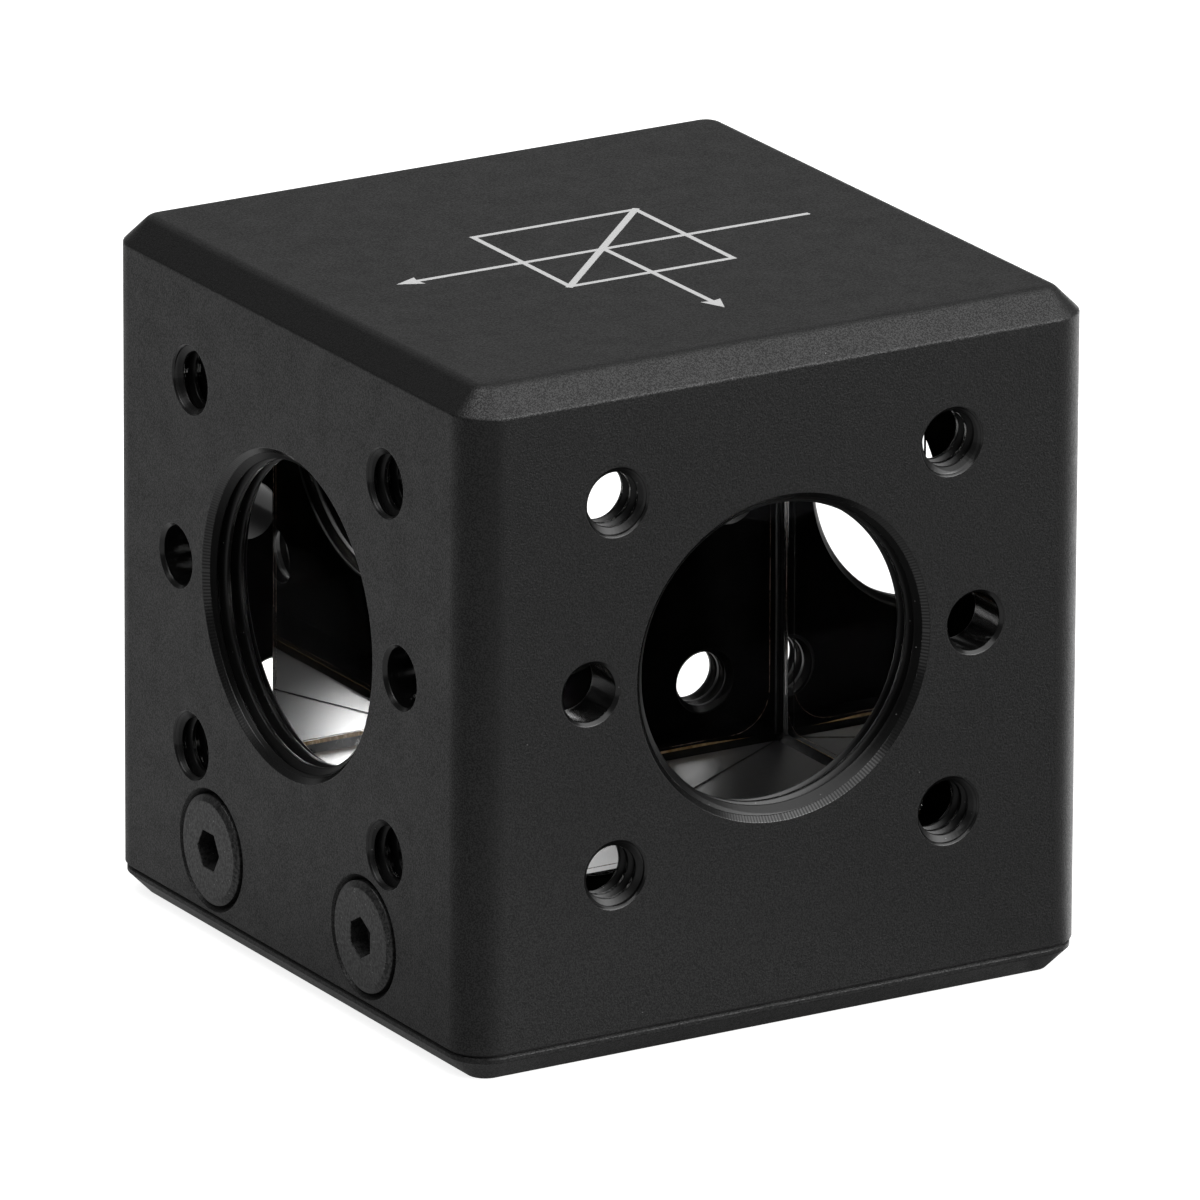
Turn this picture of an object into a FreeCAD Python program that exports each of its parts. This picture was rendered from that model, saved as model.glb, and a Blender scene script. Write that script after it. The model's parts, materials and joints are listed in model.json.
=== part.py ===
import FreeCAD, Part
import math
import os

# Optical cage cube: a square housing with four threaded ports, closed from below by a base plate
# that carries a cemented glass beamsplitter cube. +Z is up, and the origin is on the underside,
# on the vertical axis of the cube. The light paths run along X and along Y and cross on that axis.

# Housing
CUBE_WIDTH = 29.81
CORNER_RADIUS = 1.75
TOP_CHAMFER = 1.13
SIDE_WALL = 2.0
ROOF_WALL = 2.36
CAVITY_CORNER_RADIUS = 2.4
LOWER_EDGE_BREAK = 0.12

# Threaded ports: the bore is as wide as the crown of the thread cut in it
PORT_THREAD_RADIUS = 6.795
PORT_MOUTH_RADIUS = 7.03

# Tapped holes for the rods of a cage, four round each port
CAGE_SPACING = 16.0
CAGE_THREAD_RADIUS = 1.4225
CAGE_MOUTH_RADIUS = 1.5

# Plain holes for alignment pins, one on each side of a port
PIN_HOLE_SPACING = 18.44
PIN_HOLE_RADIUS = 1.25
PIN_MOUTH_RADIUS = 1.4

# Base plate and the platform that stands on it inside the housing
PLATE_THICKNESS = 1.24
PLATE_INSET = 0.06
PLATE_CHAMFER = 0.96
PLATE_EDGE_BREAK = 0.1
PLATFORM_THICKNESS = 4.85
PLATFORM_CLEARANCE = 0.05

# Tapped mounting hole in the underside
POST_THREAD_RADIUS = 2.083
POST_MOUTH_RADIUS = 2.3
POST_HOLE_DEPTH = 4.4
DRILL_POINT_ANGLE = 118.0

# Countersunk screws that hold the base plate, two in the left wall and two in the right wall
SCREW_SPACING = 12.6
SCREW_RISE = 2.87
SCREW_SHANK_RADIUS = 1.4
SCREW_LENGTH = 6.2
SCREW_CONE_ANGLE = 82.0
HEAD_RIM_RADIUS = 2.375
HEAD_FACE_RADIUS = 2.1
HEAD_STAND_PROUD = 0.15
SOCKET_ACROSS_FLATS = 1.59
SOCKET_DEPTH = 0.85
COUNTERSINK_RADIUS = 2.65
SCREW_HOLE_CLEARANCE = 0.1
TAPPED_HOLE_CLEARANCE = 0.01
TAPPED_HOLE_SPARE_DEPTH = 0.6

# Beamsplitter: two right-angle prisms cemented on their long faces, glued to the platform
GLASS_SIZE = 20.0
GLASS_BEVEL = 0.3
CEMENT_THICKNESS = 0.03
GLUE_THICKNESS = 0.1
GLUE_MARGIN = 0.9
GLASS_HEADROOM = 1.18

# Sizes that follow from the ones above, from the underside up
SEAM_HEIGHT = PLATE_THICKNESS
SCREW_HEIGHT = SEAM_HEIGHT + SCREW_RISE
PLATFORM_TOP = SEAM_HEIGHT + PLATFORM_THICKNESS
GLASS_BOTTOM = PLATFORM_TOP + GLUE_THICKNESS
PORT_HEIGHT = GLASS_BOTTOM + GLASS_SIZE / 2
CAVITY_TOP = GLASS_BOTTOM + GLASS_SIZE + GLASS_HEADROOM
CUBE_HEIGHT = CAVITY_TOP + ROOF_WALL
HALF_WIDTH = CUBE_WIDTH / 2
CAVITY_WIDTH = CUBE_WIDTH - 2 * SIDE_WALL

# How far a cutting tool runs past the surface that it opens
OVERCUT = 1.0

UP = FreeCAD.Vector(0, 0, 1)
INWARD = FreeCAD.Vector(0, 1, 0)
ALONG_X = FreeCAD.Vector(1, 0, 0)
AXIS_FOOT = FreeCAD.Vector(0, 0, 0)

# Each screw by name: the side wall it is in, its end of that wall, and where its socket came to rest
SCREWS = {
    "side_screw_left_front": (-1, -1, 30.0),
    "side_screw_left_rear": (-1, 1, 0.0),
    "side_screw_right_front": (1, -1, 14.0),
    "side_screw_right_rear": (1, 1, 47.0),
}


def turned(shape, degrees):
    """A copy of the shape, turned about the vertical axis of the cube."""
    copy = shape.copy()
    copy.rotate(AXIS_FOOT, UP, degrees)
    return copy


def upright_edges(solid):
    """The straight edges that run along Z."""
    upright = []
    for edge in solid.Edges:
        box = edge.BoundBox
        if box.XLength < 1e-6 and box.YLength < 1e-6:
            upright.append(edge)
    return upright


def edges_at_height(solid, height):
    """The edges that lie flat at one height."""
    flat = []
    for edge in solid.Edges:
        box = edge.BoundBox
        if abs(box.ZMin - height) < 1e-6 and abs(box.ZMax - height) < 1e-6:
            flat.append(edge)
    return flat


def round_cornered_block(width, radius, bottom, top):
    """Square block, centred on the vertical axis, with round upright corners."""
    corner = FreeCAD.Vector(-width / 2, -width / 2, bottom)
    block = Part.makeBox(width, width, top - bottom, corner)
    return block.makeFillet(radius, upright_edges(block))


def hole_tool(x, z, radius, mouth_radius, depth):
    """Drill for the front wall, with a 45 degree mouth that opens to mouth_radius at the surface."""
    start = FreeCAD.Vector(x, -HALF_WIDTH - OVERCUT, z)
    drill = Part.makeCylinder(radius, OVERCUT + depth, start, INWARD)
    wide = mouth_radius + OVERCUT
    mouth = Part.makeCone(wide, radius, wide - radius, start, INWARD)
    return drill.fuse(mouth)


def wall_hole_tools():
    """Every hole of the front wall: the port, the rod holes round it and the pin holes beside it."""
    depth = SIDE_WALL + OVERCUT
    tools = [hole_tool(0, PORT_HEIGHT, PORT_THREAD_RADIUS, PORT_MOUTH_RADIUS, depth)]
    for side in (-1, 1):
        rod_x = side * CAGE_SPACING / 2
        for level in (-1, 1):
            rod_z = PORT_HEIGHT + level * CAGE_SPACING / 2
            tools.append(hole_tool(rod_x, rod_z, CAGE_THREAD_RADIUS, CAGE_MOUTH_RADIUS, depth))
        pin_x = side * PIN_HOLE_SPACING / 2
        tools.append(hole_tool(pin_x, PORT_HEIGHT, PIN_HOLE_RADIUS, PIN_MOUTH_RADIUS, depth))
    return tools


def place_at_screw(shape, wall, end):
    """Turn a shape made round the X axis, head towards -X, and set it where a screw goes."""
    placed = shape.copy()
    if wall > 0:
        placed.rotate(AXIS_FOOT, UP, 180)
    placed.translate(FreeCAD.Vector(wall * HALF_WIDTH, end * SCREW_SPACING / 2, SCREW_HEIGHT))
    return placed


def turned_profile(points):
    """Solid of revolution about the X axis from points given as (along X, radius)."""
    corners = [FreeCAD.Vector(along, 0, radius) for along, radius in points]
    outline = Part.makePolygon(corners + corners[:1])
    return Part.Face(outline).revolve(AXIS_FOOT, ALONG_X, 360)


def cone_depth(wide, narrow):
    """Length of the screw's cone between two radii."""
    return (wide - narrow) / math.tan(math.radians(SCREW_CONE_ANGLE / 2))


def countersink_tool():
    """Countersink and clearance hole for one screw, its mouth in the plane X = 0."""
    hole_radius = SCREW_SHANK_RADIUS + SCREW_HOLE_CLEARANCE
    depth = cone_depth(COUNTERSINK_RADIUS, hole_radius)
    return turned_profile([
        (-OVERCUT, 0),
        (-OVERCUT, COUNTERSINK_RADIUS),
        (0, COUNTERSINK_RADIUS),
        (depth, hole_radius),
        (SIDE_WALL + OVERCUT, hole_radius),
        (SIDE_WALL + OVERCUT, 0),
    ])


def screw_blank():
    """Screw without its socket: proud face with a bevelled rim, short rim, cone and shank."""
    rim_depth = cone_depth(COUNTERSINK_RADIUS, HEAD_RIM_RADIUS)
    cone_end = rim_depth + cone_depth(HEAD_RIM_RADIUS, SCREW_SHANK_RADIUS)
    return turned_profile([
        (-HEAD_STAND_PROUD, 0),
        (-HEAD_STAND_PROUD, HEAD_FACE_RADIUS),
        (0, HEAD_RIM_RADIUS),
        (rim_depth, HEAD_RIM_RADIUS),
        (cone_end, SCREW_SHANK_RADIUS),
        (SCREW_LENGTH, SCREW_SHANK_RADIUS),
        (SCREW_LENGTH, 0),
    ])


def socket_tool(angle):
    """Hexagonal socket, turned to its angle."""
    corner_radius = SOCKET_ACROSS_FLATS / math.sqrt(3)
    corners = []
    for step in range(7):
        turn = math.radians(angle + 60 * step)
        corners.append(FreeCAD.Vector(
            -HEAD_STAND_PROUD - OVERCUT,
            corner_radius * math.cos(turn),
            corner_radius * math.sin(turn)))
    return Part.Face(Part.makePolygon(corners)).extrude(ALONG_X * (OVERCUT + SOCKET_DEPTH))


def side_screw(wall, end, socket_angle):
    """One countersunk screw in its place."""
    screw = screw_blank().cut(socket_tool(socket_angle))
    return place_at_screw(screw, wall, end)


def housing():
    """The machined shell: four pierced walls and a roof, open below for the platform."""
    shell = round_cornered_block(CUBE_WIDTH, CORNER_RADIUS, SEAM_HEIGHT, CUBE_HEIGHT)
    shell = shell.makeChamfer(TOP_CHAMFER, edges_at_height(shell, CUBE_HEIGHT))
    shell = shell.makeChamfer(LOWER_EDGE_BREAK, edges_at_height(shell, SEAM_HEIGHT))
    cavity = round_cornered_block(
        CAVITY_WIDTH, CAVITY_CORNER_RADIUS, SEAM_HEIGHT - OVERCUT, CAVITY_TOP)
    shell = shell.cut(cavity)
    tools = []
    for quarter in range(4):
        for tool in wall_hole_tools():
            tools.append(turned(tool, 90 * quarter))
    for wall, end, _ in SCREWS.values():
        tools.append(place_at_screw(countersink_tool(), wall, end))
    return shell.cut(tools)


def post_hole_tool():
    """Tapped blind hole in the underside: mouth, bore and the point of its drill."""
    bore = Part.makeCylinder(POST_THREAD_RADIUS, OVERCUT + POST_HOLE_DEPTH, UP * -OVERCUT, UP)
    wide = POST_MOUTH_RADIUS + OVERCUT
    mouth = Part.makeCone(wide, POST_THREAD_RADIUS, wide - POST_THREAD_RADIUS, UP * -OVERCUT, UP)
    point_length = POST_THREAD_RADIUS / math.tan(math.radians(DRILL_POINT_ANGLE / 2))
    point = Part.makeCone(POST_THREAD_RADIUS, 0, point_length, UP * POST_HOLE_DEPTH, UP)
    return bore.fuse([mouth, point])


def base_plate():
    """The plate that closes the housing, with the platform for the glass cut from the same piece."""
    width = CUBE_WIDTH - 2 * PLATE_INSET
    plate = round_cornered_block(width, CORNER_RADIUS, 0, SEAM_HEIGHT)
    plate = plate.makeChamfer(PLATE_CHAMFER, edges_at_height(plate, 0))
    plate = plate.makeChamfer(PLATE_EDGE_BREAK, edges_at_height(plate, SEAM_HEIGHT))
    platform = round_cornered_block(
        CAVITY_WIDTH - 2 * PLATFORM_CLEARANCE,
        CAVITY_CORNER_RADIUS - PLATFORM_CLEARANCE,
        SEAM_HEIGHT / 2,
        PLATFORM_TOP)
    base = plate.fuse(platform).removeSplitter()
    tapped = Part.makeCylinder(
        SCREW_SHANK_RADIUS + TAPPED_HOLE_CLEARANCE,
        SCREW_LENGTH + TAPPED_HOLE_SPARE_DEPTH,
        AXIS_FOOT,
        ALONG_X)
    tools = [post_hole_tool()]
    for wall, end, _ in SCREWS.values():
        tools.append(place_at_screw(tapped, wall, end))
    return base.cut(tools)


def bevelled_glass_cube():
    """The cemented cube as ground to size, with a fine bevel on every edge."""
    half = GLASS_SIZE / 2
    corner = FreeCAD.Vector(-half, -half, GLASS_BOTTOM)
    cube = Part.makeBox(GLASS_SIZE, GLASS_SIZE, GLASS_SIZE, corner)
    return cube.makeChamfer(GLASS_BEVEL, cube.Edges)


def diagonal_slab(near, far):
    """Block between two planes parallel to the cemented diagonal, which runs along X = Y."""
    reach = 2 * GLASS_SIZE
    corner = FreeCAD.Vector(-reach / 2, near, GLASS_BOTTOM - OVERCUT)
    slab = Part.makeBox(reach, far - near, GLASS_SIZE + 2 * OVERCUT, corner)
    return turned(slab, 45)


def glue_pad():
    """Thin pad of adhesive between the glass and the platform."""
    reach = GLASS_SIZE / 2 - GLUE_MARGIN
    corner = FreeCAD.Vector(-reach, -reach, PLATFORM_TOP)
    return Part.makeBox(2 * reach, 2 * reach, GLUE_THICKNESS, corner)


def build():
    """Every piece by name."""
    cube = bevelled_glass_cube()
    edge = CEMENT_THICKNESS / 2
    pieces = {
        "housing": housing(),
        "base_plate": base_plate(),
        "front_prism": cube.common(diagonal_slab(-GLASS_SIZE, -edge)),
        "rear_prism": cube.common(diagonal_slab(edge, GLASS_SIZE)),
        "cement_layer": cube.common(diagonal_slab(-edge, edge)),
        "glue_pad": glue_pad(),
    }
    for name, (wall, end, socket_angle) in SCREWS.items():
        pieces[name] = side_screw(wall, end, socket_angle)
    return pieces


def single_solid(shape):
    """The one solid inside a boolean's result."""
    return shape.Solids[0] if len(shape.Solids) == 1 else shape


os.makedirs("parts", exist_ok=True)
for node, shape in build().items():
    solid = single_solid(shape)
    solid.exportStep(f"parts/{node}.step")
    print(node, "volume", round(solid.Volume, 1), "valid", solid.isValid())
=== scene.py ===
import json
import math
import random

import bmesh
import bpy
from mathutils import Matrix, Vector


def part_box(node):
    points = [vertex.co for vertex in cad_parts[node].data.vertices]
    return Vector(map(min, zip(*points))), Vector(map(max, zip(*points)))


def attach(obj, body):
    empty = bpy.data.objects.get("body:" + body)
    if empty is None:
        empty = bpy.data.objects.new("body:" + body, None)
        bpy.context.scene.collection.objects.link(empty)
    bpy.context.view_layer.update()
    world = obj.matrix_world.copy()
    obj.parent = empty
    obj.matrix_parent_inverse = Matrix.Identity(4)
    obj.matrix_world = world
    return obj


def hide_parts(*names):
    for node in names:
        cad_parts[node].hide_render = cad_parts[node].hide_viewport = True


# Dresses the optical cage cube: finishes for the machined pieces, rounded edges on the top chamfer,
# threads in the tapped holes, glass with ground, bevelled and cemented faces, its adhesive, and the
# symbol of the light's path on the roof.

MM = 0.001

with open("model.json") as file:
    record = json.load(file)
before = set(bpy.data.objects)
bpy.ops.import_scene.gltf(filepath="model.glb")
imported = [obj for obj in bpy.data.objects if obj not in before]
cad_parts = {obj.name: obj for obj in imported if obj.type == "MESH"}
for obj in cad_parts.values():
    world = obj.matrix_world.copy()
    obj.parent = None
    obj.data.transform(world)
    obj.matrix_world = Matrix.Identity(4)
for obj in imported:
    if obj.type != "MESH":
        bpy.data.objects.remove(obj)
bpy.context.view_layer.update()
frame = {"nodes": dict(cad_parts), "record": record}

# Sizes read from the frame
mounts = {mount["name"]: mount for mount in frame["record"]["mounts"]}
housing_low, housing_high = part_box("housing")
glass_low, glass_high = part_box("rear_prism")
cement_low, cement_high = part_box("cement_layer")
pad_low, pad_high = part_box("glue_pad")
HALF_WIDTH = housing_high.x
CUBE_TOP = housing_high.z
PORT_HEIGHT = mounts["port_front"]["pos_m"][2]
PORT_RADIUS = mounts["port_front"]["dims"]["r_mm"] * MM
PORT_THREAD_LENGTH = mounts["port_front"]["dims"]["length_mm"] * MM
PORT_THREAD_MIDDLE = HALF_WIDTH + mounts["port_front"]["pos_m"][1]
PORT_MOUTH_DEPTH = PORT_THREAD_MIDDLE - PORT_THREAD_LENGTH / 2
SIDE_WALL = PORT_MOUTH_DEPTH + PORT_THREAD_LENGTH
ROD_SPACING = mounts["cage_front"]["dims"]["spacing_x_mm"] * MM
ROD_RADIUS = mounts["cage_front"]["dims"]["hole_r_mm"] * MM
PIN_SPACING = mounts["pins_front"]["dims"]["spacing_x_mm"] * MM
POST_RADIUS = mounts["post_hole"]["dims"]["r_mm"] * MM
POST_THREAD_LENGTH = mounts["post_hole"]["dims"]["length_mm"] * MM
GLASS_HALF = glass_high.y
CEMENT_HALF = cement_high.x
GLASS_BOTTOM = glass_low.z
GLASS_TOP = glass_high.z
PLATFORM_TOP = pad_low.z
PAD_HALF = pad_high.x

# Sizes of the solids that the frame doesn't list
ROD_MOUTH_DEPTH = 0.0775 * MM
PIN_MOUTH_DEPTH = 0.15 * MM
PIN_MOUTH_RADIUS = 1.404 * MM
POST_MOUTH_DEPTH = 0.217 * MM
TOP_CHAMFER = 1.13 * MM
GLASS_BEVEL = 0.25 * MM

# Where the finishes change
MOUTH_MARGIN = 0.004 * MM
FACE_MARGIN = 0.01 * MM
INSIDE_MARGIN = 0.02 * MM
SEAM_MARGIN = 0.05 * MM
ROOF_MARGIN = 2 * MM
PORT_MOUTH_RADIUS = PORT_RADIUS + PORT_MOUTH_DEPTH + MOUTH_MARGIN
ROD_MOUTH_RADIUS = ROD_RADIUS + ROD_MOUTH_DEPTH + MOUTH_MARGIN
INSIDE_HALF = HALF_WIDTH - SIDE_WALL + INSIDE_MARGIN
INSIDE_BOTTOM = housing_low.z + SEAM_MARGIN
INSIDE_TOP = CUBE_TOP - ROOF_MARGIN

# Threads
WALLS = ("front", "right", "rear", "left")
PORT_PITCH = 0.635 * MM
ROD_PITCH = 0.635 * MM
POST_PITCH = 0.794 * MM
PORT_CREST = 0.345 * MM
ROD_CREST = 0.26 * MM
POST_CREST = 0.36 * MM
PORT_STEPS = 144
ROD_STEPS = 48
POST_STEPS = 64
THREAD_FLANK = math.radians(30)
THREAD_ROOT_SINK = 0.035 * MM
THREAD_SEAT = 0.004 * MM
PORT_PHASES = {"front": 235.0, "right": 40.0, "rear": 300.0, "left": 98.0}
ROD_PHASE_SEED = 5

# Turning marks round a port's mouth, and painted shade in the valleys of its thread, left out low down
# where the thread catches the light from above
PORT_MARKS = 300.0
VALLEY_SHADE_START_RADIUS = PORT_RADIUS - 0.95 * PORT_CREST
VALLEY_SHADE_FULL_RADIUS = PORT_RADIUS - 0.6 * PORT_CREST
VALLEY_SHADE_START_HEIGHT = PORT_HEIGHT - 6.2 * MM
VALLEY_SHADE_FULL_HEIGHT = PORT_HEIGHT - 4.2 * MM

# Rounded edges: of all pieces in their finish, and of the top chamfer in its shape too
EDGE_SOFTNESS = 0.06 * MM
CHAMFER_SOFTNESS = 0.14 * MM
SOFTER_ABOVE = CUBE_TOP - 1.6 * MM
UPPER_ROUNDING = 0.25 * MM
LOWER_ROUNDING = 0.05 * MM
ROUNDING_STEPS = 4
ROUNDED_ANGLE = math.radians(20)
SHARP_ANGLE = math.radians(24)
MERGE_DISTANCE = 0.0001 * MM
LEVEL_MARGIN = 0.001 * MM

# Grain of the anodising, the spans of a noise that a ramp spreads out, and the share of a speck's
# radius within which it is full
GRAIN_SIZE = 0.08 * MM
FLECK_SIZE = 0.065 * MM
CLOUD_SIZE = 1.4 * MM
SOFT_SPAN = (0.3, 0.7)
CRISP_SPAN = (0.37, 0.63)
SPECK_CORE = 0.6

# Glass: painted bright lines along an upright bevel, clear stripes that let the white through, as spans
# of the distance from its middle, and the edge of the coating on the polished faces
GLASS_IOR = 1.517
MIRRORED_SHARE = 0.04
PAINTED_BRIGHT_MIDDLE = (0.07 * MM, 0.04 * MM)
PAINTED_BRIGHT_SIDES = (0.22 * MM, 0.25 * MM)
COATING_INSET = 0.585 * MM
COATING_RISE = 0.5 * MM
COATING_CORNER = 1.8 * MM
COATING_WIDTH = 0.03 * MM
COATING_DEPTH = 0.003 * MM
COATING_STEPS = 8

# Share of a face's normal along an axis, for a face square to that axis and one along it
SQUARE_SHARE = 0.99
ALONG_SHARE = 0.01

# Cement in the groove along the edges of the diagonal
CEMENT_BEAD_HALF = 0.05 * MM
CEMENT_BEAD_DEPTH = 0.02 * MM
CEMENT_BEAD_INSET = 0.3 * MM

# Adhesive under the glass: its pad, and the beads beside it, which swell in a few waves and fade
# out over a sixth of their length at both ends
ADHESIVE_GAP = 0.01 * MM
BEAD_WIDTH = 0.35 * MM
BEAD_LEAST_WIDTH = 0.05 * MM
BEAD_RISE = 0.22 * MM
BEAD_HALF = 9.5 * MM
BEAD_ROOT = 0.6 * MM
BEAD_OVERLAP = 0.01 * MM
BEAD_STEPS = 60
BEAD_SEED = 3
BEAD_WAVES = (2, 3, 5, 9)
BEAD_WAVE_TURN = 3
BEAD_UNEVENNESS = 0.4
BEAD_FADES = 6
BEAD_START_RISE = 1.3
BEAD_RISE_LOSS = 0.8
BEAD_SHOULDER = 0.4

# Symbol on the roof, in millimetres, and how far its lines reach into and above the roof
SYMBOL_HALF = 3.92
SYMBOL_SHIFT = 0.2
LINE_WIDTH = 0.25
DIAGONAL_WIDTH = 0.31
BEAM_START = (9.96, -0.18)
BEAM_END = (-8.9, -0.13)
BEAM_TIP = (-9.75, -0.13)
BEAM_WAY = (-1, 0)
BRANCH_START = (0.15, -0.1)
BRANCH_END = (0.28, -8.7)
BRANCH_TIP = (0.3, -9.55)
BRANCH_WAY = (0.02, -1)
ARROW_LENGTH = 1.1
ARROW_WIDTH = 0.95
ARROW_NOTCH = 0.12
SYMBOL_DEPTH = 0.02 * MM
SYMBOL_PROUD = 0.003 * MM
PROUDER_BY = 0.1

# Camera, as the photograph was taken
CAMERA_PLACE = Vector((-374.3, -624.0, 256.09)) * MM
CAMERA_AZIMUTH = math.radians(-30.9665)
CAMERA_ELEVATION = math.radians(18.3731)
CAMERA_ROLL = math.radians(0.2604)
CAMERA_SENSOR = 36.0
CAMERA_LENS = 552.85
CAMERA_CLIP = (50 * MM, 20000 * MM)
BEHIND = Vector((-math.sin(CAMERA_AZIMUTH), math.cos(CAMERA_AZIMUTH), 0.0))

# Soft lights of the room: the way to each one, the angles from its middle at which it ends and is
# full, in degrees, and its strength
ROOM_LIGHTS = {
    "overhead": ((0.25, -0.42, 0.87), 48, 38, 1.35),
    "rear right wall": ((0.5, 0.82, 0.25), 50, 15, 0.24),
    "high front right": ((0.5, -0.61, 0.61), 34, 22, 0.8),
    "high left": ((-0.42, 0.0, 0.9), 25, 13, 2.6),
    "low front right": ((0.485, -0.815, 0.316), 24, 12, 5.4)}
ROOM_GLOW = 0.08

# Degrees to either side of the way behind the object, within which white shows through the glass
SEEN_IN_ROOM = 58
SEEN_ON_FLOOR = 85
SEEN_FADE = 13

# Floor, with the pools of light on it that the object mirrors: the way to each one from a point near
# the front right corner, the angles at which it ends and is full, its strength, and whether it lies
# far from the object, near it or all over
FLOOR_HALF = 1500 * MM
FLOOR_DROP = 0.02 * MM
FLOOR_PALE = 0.55
FLOOR_GLOW = 0.85
FLOOR_DIM = 0.05
POOL_CENTRE = (13.2 * MM, -13.2 * MM, 0.0)
FLOOR_POOLS = {
    "right": ((1.0, -0.12, 0.0), 24, 10, 0.9, "all over"),
    "rear right": ((0.88, 0.47, 0.0), 36, 26, 1.7, "all over"),
    "behind": (BEHIND, 35, 20, 1.0, "all over"),
    "rear left": ((-0.5, 0.8, 0.0), 60, 20, 0.5, "far"),
    "left": ((-0.9, -0.45, 0.0), 45, 20, 0.36, "far"),
    "front": ((0.4, -0.92, 0.0), 50, 22, 0.05, "all over"),
    "left edge": ((-0.87, 0.49, 0.0), 32, 20, 0.11, "near")}

# Distances on the floor from the object's axis: where what is near gives way to what is far, where
# the ring of glow is full and ends, and where the shade below the object ends and the open floor starts
NEAR_END = 14 * MM
FAR_START = 28 * MM
RING_GLOW = 0.14
RING_FULL = 16 * MM
RING_END = 30 * MM
UNDER_END = 5 * MM
OPEN_START = 12 * MM


def add(tree, kind, settings=None, inputs=None):
    """New shader node with its settings, and its inputs set or linked by name or number."""
    node = tree.nodes.new("ShaderNode" + kind)
    for name, value in (settings or {}).items():
        setattr(node, name, value)
    for name, value in (inputs or {}).items():
        if isinstance(value, bpy.types.NodeSocket):
            tree.links.new(value, node.inputs[name])
        else:
            node.inputs[name].default_value = value
    return node


def maths(tree, operation, *values):
    """Result of a Math node."""
    inputs = dict(enumerate(values))
    return add(tree, "Math", {"operation": operation}, inputs).outputs[0]


def ramp(tree, value, low, high, out_low=0.0, out_high=1.0):
    """Smooth step of a value from low to high, as a number from out_low to out_high."""
    inputs = {"Value": value, "From Min": low, "From Max": high, "To Min": out_low, "To Max": out_high}
    node = add(tree, "MapRange", {"interpolation_type": "SMOOTHSTEP"}, inputs)
    return node.outputs["Result"]


def mixed(tree, factor, first, second):
    """Number between two numbers."""
    return add(tree, "Mix", None, {0: factor, 2: first, 3: second}).outputs[0]


def mixed_colour(tree, factor, first, second):
    """Colour between two colours."""
    node = add(tree, "Mix", {"data_type": "RGBA"})
    for index, value in ((0, factor), (6, first), (7, second)):
        if isinstance(value, bpy.types.NodeSocket):
            tree.links.new(value, node.inputs[index])
        else:
            node.inputs[index].default_value = value
    return node.outputs[2]


def noise(tree, place, feature, detail=2.0, roughness=0.5):
    """Noise with features of a given size."""
    inputs = {"Vector": place, "Scale": 1 / feature, "Detail": detail, "Roughness": roughness}
    return add(tree, "TexNoise", None, inputs).outputs["Fac"]


def grey(level):
    """A neutral colour."""
    return (level, level, level, 1.0)


def new_material(name):
    """Material with an empty tree, its Principled shader and the place on the object."""
    material = bpy.data.materials.new(name)
    material.use_nodes = True
    tree = material.node_tree
    tree.nodes.clear()
    shader = add(tree, "BsdfPrincipled")
    add(tree, "OutputMaterial", None, {"Surface": shader.outputs["BSDF"]})
    place = add(tree, "TexCoord").outputs["Object"]
    return material, tree, shader, place


def link(tree, value, shader, name):
    """Link a value into a shader's input."""
    tree.links.new(value, shader.inputs[name])


def tint_highlight(tree, shader, strength):
    """Neutral tint of the highlight."""
    tint = add(tree, "CombineColor", None, {"Red": strength, "Green": strength, "Blue": strength})
    link(tree, tint.outputs["Color"], shader, "Specular Tint")
    shader.inputs["Specular IOR Level"].default_value = 1.0


def add_bump(tree, shader, inputs):
    """Bump with these inputs, as the shader's normal."""
    bump = add(tree, "Bump", None, inputs)
    link(tree, bump.outputs["Normal"], shader, "Normal")


def dust(tree, place, cell, size, share):
    """Mask of small specks, one in some of the cells."""
    cells = add(tree, "TexVoronoi", None, {"Vector": place, "Scale": 1 / cell})
    near = ramp(tree, cells.outputs["Distance"], size / cell, SPECK_CORE * size / cell)
    chosen = add(tree, "SeparateColor", None, {"Color": cells.outputs["Color"]}).outputs["Red"]
    return maths(tree, "MULTIPLY", near, maths(tree, "GREATER_THAN", chosen, 1 - share))


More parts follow.
